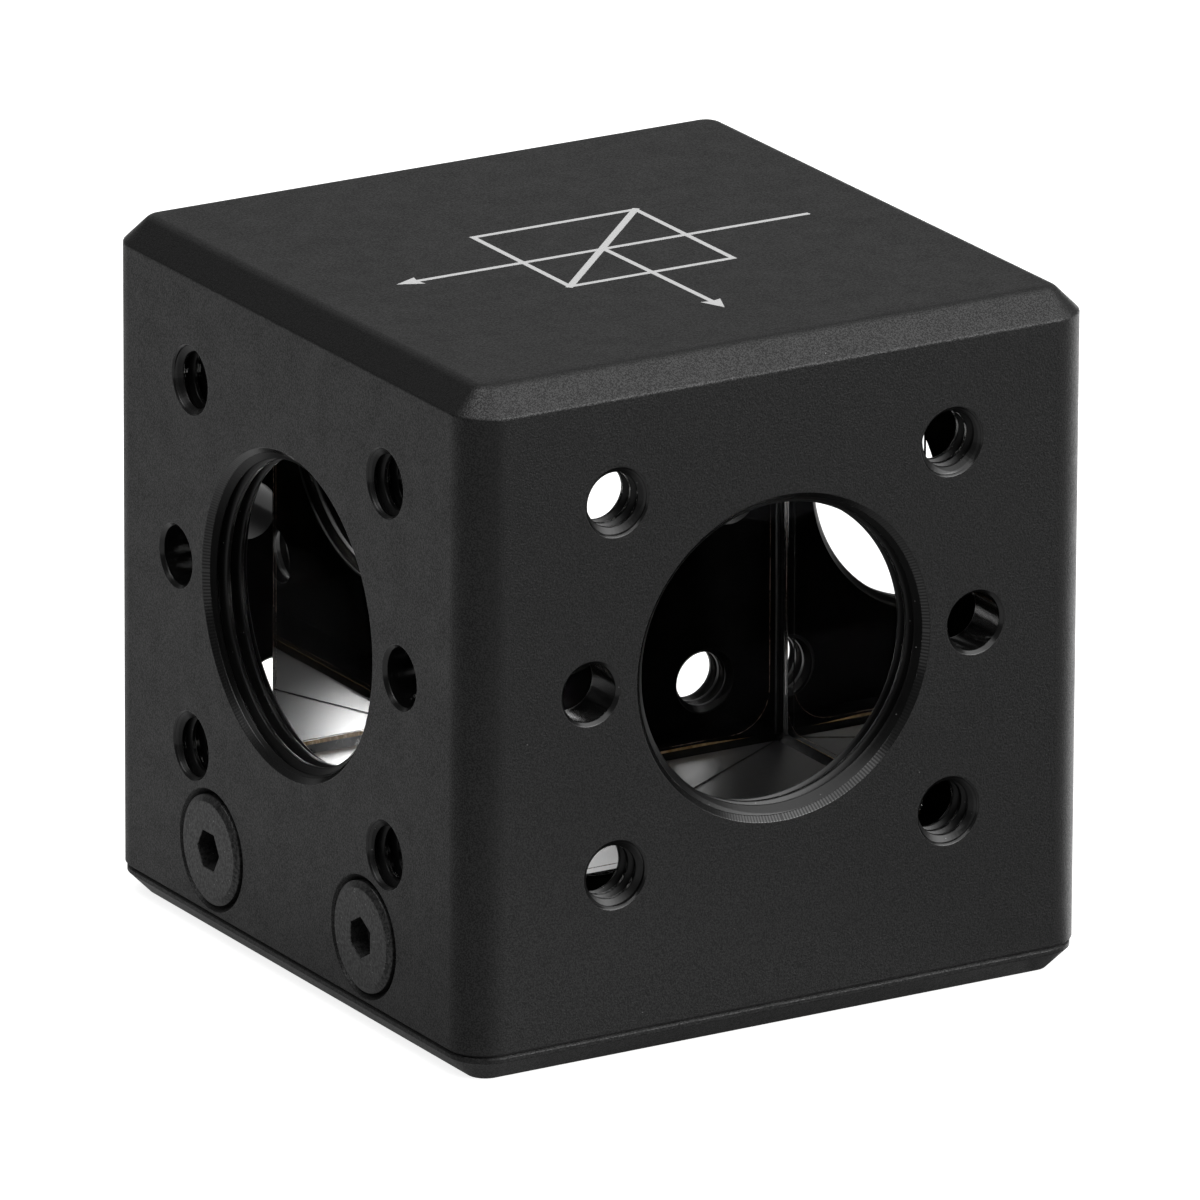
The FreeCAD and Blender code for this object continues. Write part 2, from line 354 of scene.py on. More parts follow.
def turned_mask(tree, place):
    """Three masks: 1 on all the turned skin of the side walls' holes, 1 on their mouths' cones, and 1
    in the valleys of the ports' threads, where painted shade darkens the highlight, except low down.
    Also the turning marks of the ports' mouths, as a wave round the port.

    The four walls are alike, so one distance from each kind of hole's axis serves all of them."""
    parts = add(tree, "SeparateXYZ", None, {"Vector": place}).outputs
    from_x = maths(tree, "ABSOLUTE", parts["X"])
    from_y = maths(tree, "ABSOLUTE", parts["Y"])
    aside = maths(tree, "MINIMUM", from_x, from_y)
    depth = maths(tree, "MAXIMUM", from_x, from_y)
    rise = maths(tree, "ABSOLUTE", maths(tree, "SUBTRACT", parts["Z"], PORT_HEIGHT))
    rod = ROD_SPACING / 2
    masks = []
    distances = []
    for across, up, radius in ((0.0, 0.0, PORT_MOUTH_RADIUS), (rod, rod, ROD_MOUTH_RADIUS),
                               (PIN_SPACING / 2, 0.0, PIN_MOUTH_RADIUS)):
        point = add(tree, "CombineXYZ", None, {
            "X": maths(tree, "SUBTRACT", aside, across), "Y": maths(tree, "SUBTRACT", rise, up)})
        away = add(tree, "VectorMath", {"operation": "LENGTH"}, {0: point.outputs["Vector"]})
        distances.append(away.outputs["Value"])
        masks.append(maths(tree, "LESS_THAN", away.outputs["Value"], radius))
    any_hole = maths(tree, "MAXIMUM", maths(tree, "MAXIMUM", masks[0], masks[1]), masks[2])
    turned = maths(tree, "MULTIPLY", any_hole, maths(tree, "GREATER_THAN", depth, INSIDE_HALF))
    mouth = maths(tree, "MULTIPLY_ADD", masks[0], PORT_MOUTH_DEPTH - PIN_MOUTH_DEPTH, PIN_MOUTH_DEPTH)
    mouth_end = maths(tree, "SUBTRACT", HALF_WIDTH - FACE_MARGIN, mouth)
    cone = maths(tree, "MULTIPLY", turned, maths(tree, "GREATER_THAN", depth, mouth_end))
    # Painted shade in the valleys of the port threads, fading out low down where the thread catches the
    # light from above
    sunk = ramp(tree, distances[0], VALLEY_SHADE_START_RADIUS, VALLEY_SHADE_FULL_RADIUS)
    shade_by_height = ramp(tree, parts["Z"], VALLEY_SHADE_START_HEIGHT, VALLEY_SHADE_FULL_HEIGHT)
    painted_valley_shade = maths(tree, "MULTIPLY", masks[0], maths(tree, "MULTIPLY", sunk, shade_by_height))
    angle = maths(tree, "ARCTAN2", rise, aside)
    marks = maths(tree, "SINE", maths(tree, "MULTIPLY", angle, PORT_MARKS))
    return turned, cone, painted_valley_shade, maths(tree, "MULTIPLY", marks, masks[0])


def anodised(name, thread=False):
    """Black anodised aluminium: blasted grain with faint clouds and some dust, rounded edges, and a
    smoother skin in the holes, with tool marks on the ports' mouths and painted shade in the valleys of
    their threads. A thread has this skin all over, and more pale specks, which are dust and painted
    sparkle."""
    material, tree, shader, place = new_material(name)
    grain = noise(tree, place, GRAIN_SIZE, detail=1.0, roughness=0.5)
    fleck = noise(tree, place, FLECK_SIZE, detail=1.0, roughness=0.6)
    cloud = noise(tree, place, CLOUD_SIZE, detail=4.0, roughness=0.6)
    turned, cone, painted_valley_shade, marks = turned_mask(tree, place)
    dust_and_sparkle_cell = 1.1 * MM
    turned_roughness = 0.2
    if thread:
        turned = 1.0
        # Denser pale specks on a thread: dust, and painted sparkle
        dust_and_sparkle_cell = 0.3 * MM
        turned_roughness = 0.3
    body = mixed_colour(tree, ramp(tree, cloud, *SOFT_SPAN), grey(0.003), grey(0.005))
    # Pale specks: dust, and on a thread also painted sparkle
    specks = dust(tree, place, dust_and_sparkle_cell, size=0.028 * MM, share=0.3)
    link(tree, mixed_colour(tree, specks, body, grey(0.16)), shader, "Base Color")
    clouded = ramp(tree, cloud, 0.25, 0.75, out_low=0.46, out_high=0.4)
    blasted = maths(tree, "ADD", clouded, ramp(tree, fleck, *CRISP_SPAN, out_low=0.1, out_high=-0.02))
    link(tree, mixed(tree, turned, blasted, turned_roughness), shader, "Roughness")
    blasted_tint = ramp(tree, fleck, *CRISP_SPAN, out_low=0.26, out_high=0.56)
    mouth_tint = ramp(tree, marks, -0.8, 0.8, out_low=0.34, out_high=0.86)
    # Painted shade: the highlight in the threads' valleys drops from 0.36 to 0.05
    turned_tint = mixed(tree, cone, mixed(tree, painted_valley_shade, 0.36, 0.05), mouth_tint)
    tint_highlight(tree, shader, mixed(tree, turned, blasted_tint, turned_tint))
    height = add(tree, "SeparateXYZ", None, {"Vector": place}).outputs["Z"]
    softness = ramp(tree, height, SOFTER_ABOVE, CUBE_TOP - TOP_CHAMFER, EDGE_SOFTNESS, CHAMFER_SOFTNESS)
    soft_edge = add(tree, "Bevel", {"samples": 6}, {"Radius": softness}).outputs["Normal"]
    grain_depth = mixed(tree, turned, 0.011 * MM, 0.001 * MM)
    add_bump(tree, shader, {"Strength": 1.0, "Distance": grain_depth, "Height": grain, "Normal": soft_edge})
    return material


def shaded_inside_copy():
    """The same anodising inside the cube, where the photograph shows it black and dull: a copy of the
    finish with no highlight, as painted shade.
    """
    material, tree, shader, place = new_material("black_anodised_painted_shade_inside")
    cloud = noise(tree, place, CLOUD_SIZE, detail=4.0, roughness=0.6)
    body = mixed_colour(tree, ramp(tree, cloud, *SOFT_SPAN), grey(0.003), grey(0.006))
    link(tree, body, shader, "Base Color")
    shader.inputs["Roughness"].default_value = 0.6
    # Painted shade: no highlight inside the cube
    shader.inputs["Specular IOR Level"].default_value = 0.0
    return material


def oxide_steel():
    """Black oxide on steel: a little lighter than the housing, with a coarser grain and more specks."""
    material, tree, shader, place = new_material("black_oxide_finish")
    grain = noise(tree, place, 0.13 * MM, detail=3.0, roughness=0.65)
    cloud = noise(tree, place, 0.5 * MM, detail=3.0, roughness=0.6)
    body = mixed_colour(tree, ramp(tree, cloud, *SOFT_SPAN), grey(0.006), grey(0.016))
    specks = dust(tree, place, cell=0.3 * MM, size=0.035 * MM, share=0.4)
    link(tree, mixed_colour(tree, specks, body, grey(0.2)), shader, "Base Color")
    link(tree, ramp(tree, cloud, 0.2, 0.8, out_low=0.36, out_high=0.48), shader, "Roughness")
    tint_highlight(tree, shader, ramp(tree, grain, 0.38, 0.62, out_low=0.26, out_high=0.92))
    soft_edge = add(tree, "Bevel", {"samples": 4}, {"Radius": 0.07 * MM}).outputs["Normal"]
    add_bump(tree, shader, {"Strength": 1.0, "Distance": 0.008 * MM, "Height": grain, "Normal": soft_edge})
    return material


def polished_glass():
    """Polished and coated faces: clear from outside, and a mirror from inside at a flat angle."""
    material, tree, shader, place = new_material("polished_glass")
    shader.inputs["Transmission Weight"].default_value = 1.0
    shader.inputs["IOR"].default_value = GLASS_IOR
    shader.inputs["Specular Tint"].default_value = (0.06, 0.06, 0.08, 1.0)
    shader.inputs["Roughness"].default_value = 0.0
    fine = noise(tree, place, 0.5 * MM)
    tint = mixed_colour(tree, fine, grey(0.99), grey(1.0))
    link(tree, tint, shader, "Base Color")
    clear = add(tree, "BsdfRefraction", None, {"Color": tint, "Roughness": 0.0, "IOR": GLASS_IOR})
    within = add(tree, "NewGeometry").outputs["Backfacing"]
    both = add(tree, "MixShader", None, {0: within, 1: clear.outputs["BSDF"], 2: shader.outputs["BSDF"]})
    output = next(node for node in tree.nodes if node.type == "OUTPUT_MATERIAL")
    tree.links.new(both.outputs["Shader"], output.inputs["Surface"])
    return material


def ground_glass():
    """Finely ground face: most of the light goes through it scattered, the rest meets dark grey."""
    material, tree, shader, place = new_material("ground_glass")
    shader.inputs["IOR"].default_value = GLASS_IOR
    shader.inputs["Transmission Weight"].default_value = 0.8
    shader.inputs["Specular Tint"].default_value = grey(0.3)
    fine = noise(tree, place, 0.05 * MM, detail=2.0, roughness=0.5)
    link(tree, ramp(tree, fine, *SOFT_SPAN, out_low=0.32, out_high=0.36), shader, "Roughness")
    link(tree, mixed_colour(tree, fine, grey(0.05), grey(0.07)), shader, "Base Color")
    add_bump(tree, shader, {"Strength": 0.4, "Distance": 0.006 * MM, "Height": fine})
    return material


def bevel_glass(name, painted_bright_lines):
    """Bevelled edge of the glass, dark where it is seen through the glass. Along an upright edge it
    has painted bright lines: clear stripes in the middle and at its sides that let the white through."""
    material, tree, shader, place = new_material(name)
    shader.inputs["IOR"].default_value = GLASS_IOR
    shader.inputs["Specular Tint"].default_value = grey(0.15)
    fine = noise(tree, place, 0.3 * MM, detail=3.0, roughness=0.6)
    painted_bright = 0.0
    if painted_bright_lines:
        parts = add(tree, "SeparateXYZ", None, {"Vector": place}).outputs
        from_x = maths(tree, "ABSOLUTE", parts["X"])
        from_y = maths(tree, "ABSOLUTE", parts["Y"])
        across = maths(tree, "ABSOLUTE", maths(tree, "SUBTRACT", from_x, from_y))
        # Painted highlight: clear stripes let the white through as bright lines
        middle = ramp(tree, across, *PAINTED_BRIGHT_MIDDLE)
        painted_bright = maths(tree, "MAXIMUM", middle, ramp(tree, across, *PAINTED_BRIGHT_SIDES))
    clear = maths(tree, "MULTIPLY_ADD", painted_bright, 0.8, 0.06)
    link(tree, clear, shader, "Transmission Weight")
    link(tree, ramp(tree, fine, *SOFT_SPAN, out_low=0.1, out_high=0.25), shader, "Roughness")
    link(tree, mixed_colour(tree, fine, grey(0.01), grey(0.03)), shader, "Base Color")
    return material


def see_through(name, mirror):
    """The cemented face: clear, apart from a share of the light that its coating mirrors."""
    material, tree, shader, place = new_material(name)
    shader.inputs["Metallic"].default_value = 1.0
    shader.inputs["Roughness"].default_value = 0.0
    fine = noise(tree, place, 0.5 * MM)
    link(tree, mixed_colour(tree, fine, (0.94, 0.9, 0.84, 1), (1.0, 0.96, 0.9, 1)), shader, "Base Color")
    shader.inputs["Alpha"].default_value = mirror
    return material


def amber():
    """Cured amber adhesive, cloudy and glossy."""
    material, tree, shader, place = new_material("amber_adhesive")
    cloud = noise(tree, place, 0.4 * MM, detail=3.0, roughness=0.6)
    body = mixed_colour(tree, ramp(tree, cloud, *SOFT_SPAN), (0.3, 0.18, 0.07, 1), (0.6, 0.4, 0.2, 1))
    link(tree, body, shader, "Base Color")
    link(tree, ramp(tree, cloud, *SOFT_SPAN, out_low=0.12, out_high=0.3), shader, "Roughness")
    shader.inputs["IOR"].default_value = 1.5
    add_bump(tree, shader, {"Strength": 0.5, "Distance": 0.03 * MM, "Height": cloud})
    return material


def pale_filling():
    """Pale filling of the engraved lines."""
    material, tree, shader, place = new_material("pale_engraving")
    grain = noise(tree, place, 0.05 * MM, detail=2.0, roughness=0.6)
    link(tree, mixed_colour(tree, grain, grey(0.48), grey(0.58)), shader, "Base Color")
    shader.inputs["Roughness"].default_value = 0.6
    shader.inputs["Specular IOR Level"].default_value = 0.3
    return material


def coating_line():
    """The faint bronze line where the coating on a polished face ends, fainter in patches."""
    material, tree, shader, place = new_material("coating_line")
    fine = noise(tree, place, 0.15 * MM, detail=3.0, roughness=0.7)
    body = mixed_colour(tree, ramp(tree, fine, 0.35, 0.65), (0.16, 0.1, 0.07, 1), (0.5, 0.36, 0.28, 1))
    link(tree, body, shader, "Base Color")
    shader.inputs["Roughness"].default_value = 0.35
    patch = noise(tree, place, 2.5 * MM, detail=2.0, roughness=0.5)
    link(tree, ramp(tree, patch, 0.35, 0.6, out_low=0.12, out_high=0.75), shader, "Alpha")
    return material


def dark_cement():
    """Cement, which looks dark where it shows at the glass's edge."""
    material, tree, shader, place = new_material("cement_edge")
    fine = noise(tree, place, 0.2 * MM)
    link(tree, mixed_colour(tree, fine, grey(0.01), grey(0.03)), shader, "Base Color")
    shader.inputs["Roughness"].default_value = 0.4
    return material


def new_piece(name, mesh, materials):
    """Object of the model that moves with it, with the given finishes."""
    piece = bpy.data.objects.new(name, mesh)
    bpy.context.scene.collection.objects.link(piece)
    for material in materials:
        mesh.materials.append(material)
    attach(piece, "root")
    return piece


def mesh_from(name, points, faces):
    """Mesh from points and faces, with its normals turned outwards."""
    mesh = bpy.data.meshes.new(name)
    mesh.from_pydata([tuple(point) for point in points], [], faces)
    tidy = bmesh.new()
    tidy.from_mesh(mesh)
    bmesh.ops.recalc_face_normals(tidy, faces=tidy.faces)
    tidy.to_mesh(mesh)
    tidy.free()
    return mesh


def swept_ring(sections, closed):
    """Points and faces of a tube through sections that all have the same number of points."""
    count = len(sections[0])
    points = [point for section in sections for point in section]
    faces = []
    last = len(sections) if closed else len(sections) - 1
    for index in range(last):
        here = index * count
        there = (index + 1) % len(sections) * count
        for corner in range(count):
            after = (corner + 1) % count
            faces.append((here + corner, here + after, there + after, there + corner))
    if not closed:
        faces.append(tuple(range(count)))
        faces.append(tuple(range(len(points) - count, len(points))))
    return points, faces


def about_y(radius, angle, depth):
    """Point at an angle round the Y axis, at a depth along it."""
    return Vector((radius * math.sin(angle), depth, radius * math.cos(angle)))


def common_part(name, first, second):
    """Mesh of what two closed meshes share."""
    one = bpy.data.objects.new(name + "_one", first)
    other = bpy.data.objects.new(name + "_other", second)
    for made in (one, other):
        bpy.context.scene.collection.objects.link(made)
    cut = one.modifiers.new("cut", "BOOLEAN")
    cut.operation = "INTERSECT"
    cut.solver = "EXACT"
    cut.object = other
    bpy.context.view_layer.update()
    graph = bpy.context.evaluated_depsgraph_get()
    mesh = bpy.data.meshes.new_from_object(one.evaluated_get(graph))
    mesh.name = name
    bpy.data.objects.remove(one)
    bpy.data.objects.remove(other)
    return mesh


def thread_ridge(name, radius, crest, pitch, mouth_depth, length, steps):
    """Ridge of an internal thread in a hole along +Y, cut off by the hole's cone and, at its far
    end, by the same cone turned round."""
    base_radius = radius + THREAD_ROOT_SINK
    top_radius = radius - crest
    half_top = pitch / 8
    half_base = half_top + (base_radius - top_radius) * math.tan(THREAD_FLANK)
    end = mouth_depth + length
    turns = (end + 2 * pitch) / pitch
    sections = []
    for step in range(int(turns * steps) + 1):
        angle = 2 * math.pi * step / steps
        depth = pitch * step / steps - pitch
        sections.append([
            about_y(base_radius, angle, depth - half_base),
            about_y(top_radius, angle, depth - half_top),
            about_y(top_radius, angle, depth + half_top),
            about_y(base_radius, angle, depth + half_base)])
    ridge = mesh_from(name + "_ridge", *swept_ring(sections, False))
    mouth = radius + mouth_depth + THREAD_SEAT
    outer = base_radius + 2 * THREAD_ROOT_SINK
    inner = top_radius - crest / 2
    rings = []
    for step in range(steps):
        angle = 2 * math.pi * (step + 0.5) / steps
        rings.append([
            about_y(outer, angle, mouth - outer),
            about_y(outer, angle, end - THREAD_SEAT),
            about_y(radius, angle, end - THREAD_SEAT),
            about_y(inner, angle, end - THREAD_SEAT - (radius - inner)),
            about_y(inner, angle, mouth - inner)])
    room = mesh_from(name + "_room", *swept_ring(rings, True))
    return common_part(name, ridge, room)


def placed(mesh, name, matrix):
    """Copy of a mesh, moved to its place."""
    copy = mesh.copy()
    copy.name = name
    copy.transform(matrix)
    return copy


def joined(name, meshes):
    """One mesh from several."""
    whole = bmesh.new()
    for mesh in meshes:
        whole.from_mesh(mesh)
    mesh = bpy.data.meshes.new(name)
    whole.to_mesh(mesh)
    whole.free()
    return mesh


def add_wall_threads(finish):
    """Threads of each wall's port and of the four rod holes round it."""
    port = thread_ridge("port", PORT_RADIUS, PORT_CREST, PORT_PITCH, PORT_MOUTH_DEPTH,
                        PORT_THREAD_LENGTH, PORT_STEPS)
    rod = thread_ridge("rod", ROD_RADIUS, ROD_CREST, ROD_PITCH, ROD_MOUTH_DEPTH,
                       SIDE_WALL - ROD_MOUTH_DEPTH, ROD_STEPS)
    phases = random.Random(ROD_PHASE_SEED)
    for quarter, wall in enumerate(WALLS):
        turn = Matrix.Rotation(math.radians(90 * quarter), 4, "Z")
        surface = turn @ Matrix.Translation((0, -HALF_WIDTH, PORT_HEIGHT))
        phase = Matrix.Rotation(math.radians(PORT_PHASES[wall]), 4, "Y")
        mesh = placed(port, "thread_port_" + wall, surface @ phase)
        new_piece("thread_port_" + wall, mesh, [finish])
        rods = []
        for side in (-1, 1):
            for level in (-1, 1):
                shift = Matrix.Translation((side * ROD_SPACING / 2, 0, level * ROD_SPACING / 2))
                phase = Matrix.Rotation(phases.uniform(0, 2 * math.pi), 4, "Y")
                rods.append(placed(rod, "rod", surface @ shift @ phase))
        name = "threads_rods_" + wall
        new_piece(name, joined(name, rods), [finish])


def add_post_thread(finish):
    """Thread of the mounting hole in the underside."""
    ridge = thread_ridge("post", POST_RADIUS, POST_CREST, POST_PITCH, POST_MOUTH_DEPTH,
                         POST_THREAD_LENGTH, POST_STEPS)
    stand = Matrix.Rotation(math.radians(90), 4, "X")
    new_piece("thread_post", placed(ridge, "thread_post", stand), [finish])


def glass_face(normal):
    """0 for a polished face, 1 for a ground one, 2 for a level bevel, 3 for an upright one and 4 for
    the cemented diagonal."""
    if max(abs(normal.x), abs(normal.y)) > SQUARE_SHARE:
        return 0
    if abs(normal.z) > SQUARE_SHARE:
        return 1
    if abs(normal.z) > ALONG_SHARE:
        return 2
    return 4 if abs(normal.x + normal.y) < ALONG_SHARE else 3


def add_prism(name, node, materials):
    """Copy of a prism's CAD node, with a material chosen for each face by its normal."""
    mesh = frame["nodes"][node].data.copy()
    mesh.name = name
    mesh.materials.clear()
    piece = new_piece(name, mesh, materials)
    for face in mesh.polygons:
        face.material_index = glass_face(face.normal)
        face.use_smooth = False
    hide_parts(node)


def add_glass():
    """The two prisms and the cement between them."""
    bevels = [bevel_glass("level_bevel", False), bevel_glass("upright_bevel", True)]
    faces = [polished_glass(), ground_glass(), *bevels]
    coated = see_through("beamsplitter_coating", MIRRORED_SHARE)
    clear = see_through("cemented_face", 0.0)
    add_prism("prism_front", "front_prism", faces + [coated])
    add_prism("prism_rear", "rear_prism", faces + [clear])
    add_cement(dark_cement())
    add_coating_lines(coating_line())


def add_coating_lines(finish):
    """Thin line just inside each polished face where its coating ends, a rounded square."""
    outline = []
    low = GLASS_BOTTOM + COATING_RISE + COATING_CORNER
    high = GLASS_TOP - COATING_RISE - COATING_CORNER
    reach = GLASS_HALF - COATING_INSET - COATING_CORNER
    for side, height, start in ((1, high, 0), (-1, high, 90), (-1, low, 180), (1, low, 270)):
        for step in range(COATING_STEPS + 1):
            angle = math.radians(start + 90 * step / COATING_STEPS)
            outward = Vector((math.cos(angle), 0, math.sin(angle)))
            outline.append((Vector((side * reach, 0, height)), outward))
    inner = COATING_CORNER - COATING_WIDTH
    front = -GLASS_HALF + COATING_DEPTH
    back = front + COATING_DEPTH
    profile = ((inner, front), (COATING_CORNER, front), (COATING_CORNER, back), (inner, back))
    sections = []
    for centre, outward in outline:
        sections.append([centre + outward * radius + Vector((0, inward, 0)) for radius, inward in profile])
    line = mesh_from("line", *swept_ring(sections, True))
    turns = [Matrix.Rotation(math.radians(90 * quarter), 4, "Z") for quarter in range(4)]
    lines = [placed(line, "line", turn) for turn in turns]
    new_piece("coating_lines", joined("coating_lines", lines), [finish])


def add_cement(finish):
    """Bead of cement in the groove along the four edges of the diagonal."""
    low = GLASS_BOTTOM + CEMENT_BEAD_DEPTH
    high = GLASS_TOP - CEMENT_BEAD_DEPTH
    reach = CEMENT_HALF - CEMENT_BEAD_INSET
    along = Vector((1, 1, 0)).normalized()
    across = Vector((1, -1, 0)).normalized()
    base = [across * -CEMENT_BEAD_HALF, across * CEMENT_BEAD_HALF]
    ends = [-reach * math.sqrt(2), reach * math.sqrt(2)]
    bars = []
    for height, rise in ((low, CEMENT_BEAD_DEPTH * 2), (high, -CEMENT_BEAD_DEPTH * 2)):
        section = base + [Vector((0, 0, rise))]
        sections = [[along * end + point + Vector((0, 0, height)) for point in section] for end in ends]
        bars.append(mesh_from("bar", *swept_ring(sections, False)))
    for end in ends:
        section = base + [along * math.copysign(CEMENT_BEAD_DEPTH * 2, -end)]
        sections = [[along * end + point + Vector((0, 0, height)) for point in section]
                    for height in (low + CEMENT_BEAD_INSET, high - CEMENT_BEAD_INSET)]
        bars.append(mesh_from("bar", *swept_ring(sections, False)))
    piece = new_piece("cement_seam", joined("cement_seam", bars), [finish])
    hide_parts("cement_layer")


def soft_box(tree, direction, aim, edge, core, strength):
    """Light from round one direction: full inside the core angle, none past the edge angle."""
    facing = add(tree, "VectorMath", {"operation": "DOT_PRODUCT"}, {0: direction, 1: aim.normalized()})
    low = math.cos(math.radians(edge))
    high = math.cos(math.radians(core))
    return ramp(tree, facing.outputs["Value"], low, high, 0.0, strength)


def sum_of(tree, values):
    """Sum of several values."""
    total = values[0]
    for value in values[1:]:
        total = maths(tree, "ADD", total, value)
    return total


def seen_white(tree, direction, edge):
    """1 for rays that show the white background itself: straight from the camera, or through the
    glass to what lies behind the object, up to an angle to either side."""
    rays = add(tree, "LightPath").outputs
    behind = soft_box(tree, direction, BEHIND, edge, edge - SEEN_FADE, 1.0)
    through = maths(tree, "MULTIPLY", rays["Is Transmission Ray"], behind)
    unscattered = maths(tree, "LESS_THAN", rays["Diffuse Depth"], 0.5)
    return maths(tree, "MAXIMUM", rays["Is Camera Ray"], maths(tree, "MULTIPLY", through, unscattered))


def make_world():
    """The soft lights of the room and its dim glow. The camera sees a white background instead, also
    through the glass."""
    world = bpy.data.worlds.new("studio")
    bpy.context.scene.world = world
    world.use_nodes = True
    tree = world.node_tree
    tree.nodes.clear()
    direction = add(tree, "TexCoord").outputs["Generated"]
    boxes = [soft_box(tree, direction, Vector(aim), edge, core, strength)
             for aim, edge, core, strength in ROOM_LIGHTS.values()]
    light = sum_of(tree, boxes + [ROOM_GLOW])
    unseen = maths(tree, "SUBTRACT", 1.0, add(tree, "LightPath").outputs["Is Camera Ray"])
    shown = maths(tree, "MAXIMUM", maths(tree, "MULTIPLY", light, unseen),
                  seen_white(tree, direction, SEEN_IN_ROOM))
    background = add(tree, "Background", None, {"Color": grey(1.0), "Strength": shown})
    add(tree, "OutputWorld", None, {"Surface": background.outputs["Background"]})


def glowing(tree, reflectance, glow):
    """Matt surface of a neutral colour that also gives off light."""
    matt = add(tree, "BsdfDiffuse", None, {"Color": grey(reflectance)}).outputs["BSDF"]
    light = add(tree, "Emission", None, {"Color": grey(1.0), "Strength": glow}).outputs["Emission"]
    return add(tree, "AddShader", None, {0: matt, 1: light}).outputs["Shader"]


def mirrored_pools(tree, place, bearing):
    """Light of the floor as the object mirrors it: the pools, and a ring of glow round the object."""
    away = add(tree, "VectorMath", {"operation": "LENGTH"}, {0: place}).outputs["Value"]
    far = ramp(tree, away, NEAR_END, FAR_START)
    parts = {"far": far, "near": maths(tree, "SUBTRACT", 1.0, far)}
    pools = []
    for aim, edge, core, strength, where in FLOOR_POOLS.values():
        pool = soft_box(tree, bearing, Vector(aim), edge, core, strength)
        if where in parts:
            pool = maths(tree, "MULTIPLY", parts[where], pool)
        pools.append(pool)
    pools.append(ramp(tree, away, RING_END, RING_FULL, 0.0, RING_GLOW))
    return maths(tree, "MULTIPLY", sum_of(tree, pools), ramp(tree, away, UNDER_END, OPEN_START))


def make_floor():
    """Pale floor that the camera sees as white, with the object's soft shadow. In what the object
    mirrors, the floor is dim with pools of light. From below it is clear."""
    corners = [(-FLOOR_HALF, -FLOOR_HALF), (FLOOR_HALF, -FLOOR_HALF),
               (FLOOR_HALF, FLOOR_HALF), (-FLOOR_HALF, FLOOR_HALF)]
    mesh = bpy.data.meshes.new("floor")
    mesh.from_pydata([(x, y, -FLOOR_DROP) for x, y in corners], [], [(0, 1, 2, 3)])
    floor = bpy.data.objects.new("floor", mesh)
    bpy.context.scene.collection.objects.link(floor)
    material = bpy.data.materials.new("pale_floor")
    material.use_nodes = True
    tree = material.node_tree
    tree.nodes.clear()
    place = add(tree, "TexCoord").outputs["Object"]
    from_corner = add(tree, "VectorMath", {"operation": "SUBTRACT"}, {0: place, 1: POOL_CENTRE})
    level = add(tree, "VectorMath", {"operation": "NORMALIZE"}, {0: from_corner.outputs["Vector"]})
    bearing = level.outputs["Vector"]
    lit = glowing(tree, FLOOR_PALE, FLOOR_GLOW)
    mirrored = glowing(tree, FLOOR_DIM, mirrored_pools(tree, place, bearing))
    seen = seen_white(tree, bearing, SEEN_ON_FLOOR)
    top = add(tree, "MixShader", None, {0: seen, 1: mirrored, 2: lit}).outputs["Shader"]
    under = add(tree, "NewGeometry").outputs["Backfacing"]
    clear = add(tree, "BsdfTransparent").outputs["BSDF"]
    surface = add(tree, "MixShader", None, {0: under, 1: top, 2: clear}).outputs["Shader"]
    add(tree, "OutputMaterial", None, {"Surface": surface})
    mesh.materials.append(material)


def make_camera():
    """Camera of the photograph."""
    data = bpy.data.cameras.new("camera")
    camera = bpy.data.objects.new("camera", data)
    bpy.context.scene.collection.objects.link(camera)
    level = math.cos(CAMERA_ELEVATION)
    back = Vector((math.sin(CAMERA_AZIMUTH) * level, -math.cos(CAMERA_AZIMUTH) * level,
                   math.sin(CAMERA_ELEVATION)))
    right = Vector((0, 0, 1)).cross(back).normalized()
    up = back.cross(right)
    turned_right = right * math.cos(CAMERA_ROLL) + up * math.sin(CAMERA_ROLL)
    turned_up = up * math.cos(CAMERA_ROLL) - right * math.sin(CAMERA_ROLL)
    rotation = Matrix((turned_right, turned_up, back)).transposed().to_4x4()
    camera.matrix_world = Matrix.Translation(CAMERA_PLACE) @ rotation
    data.sensor_width = CAMERA_SENSOR
    data.lens = CAMERA_LENS
    data.clip_start, data.clip_end = CAMERA_CLIP
    bpy.context.scene.camera = camera


def flat_plate(corners, low, high):
    """Closed plate with an outline in the XY plane, between two heights."""
    count = len(corners)
    points = [(x, y, z) for z in (low, high) for x, y in corners]
    faces = [tuple(range(count)), tuple(range(count, 2 * count))]
    for index in range(count):
        after = (index + 1) % count
        faces.append((index, after, count + after, count + index))
    return mesh_from("plate", points, faces)


def filled_line(corners, order):
    """Engraved and filled shape on the roof. Each one stands a little prouder than the one before,
    so that no two tops lie in one plane."""
    high = SYMBOL_PROUD * (1 + PROUDER_BY * order)
    return flat_plate([corner * MM for corner in corners], CUBE_TOP - SYMBOL_DEPTH, CUBE_TOP + high)


def stroke(start, end, width, order):
    """Line with square ends."""
    along = (Vector(end) - Vector(start)).normalized()
    side = Vector((-along.y, along.x)) * width / 2
    first = Vector(start) - along * width / 2
    last = Vector(end) + along * width / 2
    return filled_line((first - side, last - side, last + side, first + side), order)


def arrowhead(tip, direction, order):
    """Solid arrowhead with a notched back."""
    along = Vector(direction).normalized()
    side = Vector((-along.y, along.x)) * ARROW_WIDTH / 2
    back = Vector(tip) - along * ARROW_LENGTH
    return filled_line((Vector(tip), back + side, back + along * ARROW_NOTCH, back - side), order)


